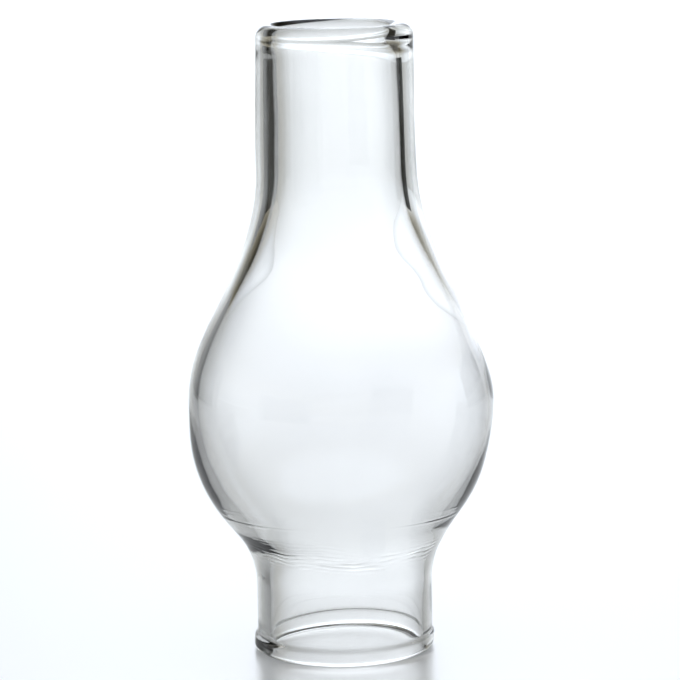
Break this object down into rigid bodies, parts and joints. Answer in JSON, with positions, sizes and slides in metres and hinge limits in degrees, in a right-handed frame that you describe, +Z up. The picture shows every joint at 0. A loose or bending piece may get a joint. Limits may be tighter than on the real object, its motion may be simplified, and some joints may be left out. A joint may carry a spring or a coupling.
{
  "type": "oil lamp chimney",
  "caption": "Clear glass chimney for a small oil lamp: beaded foot, short straight fitter, round bulb, straight neck and rolled rim, open at both ends.",
  "frame": {"origin": "centre of the flat ring that the foot stands on", "axes": "+Z up along the axis of the bore, from the foot to the rim"},
  "size_m": [0.0694, 0.0694, 0.143],
  "materials": {
    "clear_glass": "blown and fire-polished, glossy"
  },
  "bodies": {
    "root": {"glass_chimney": "clear_glass"}
  },
  "joints": []
}
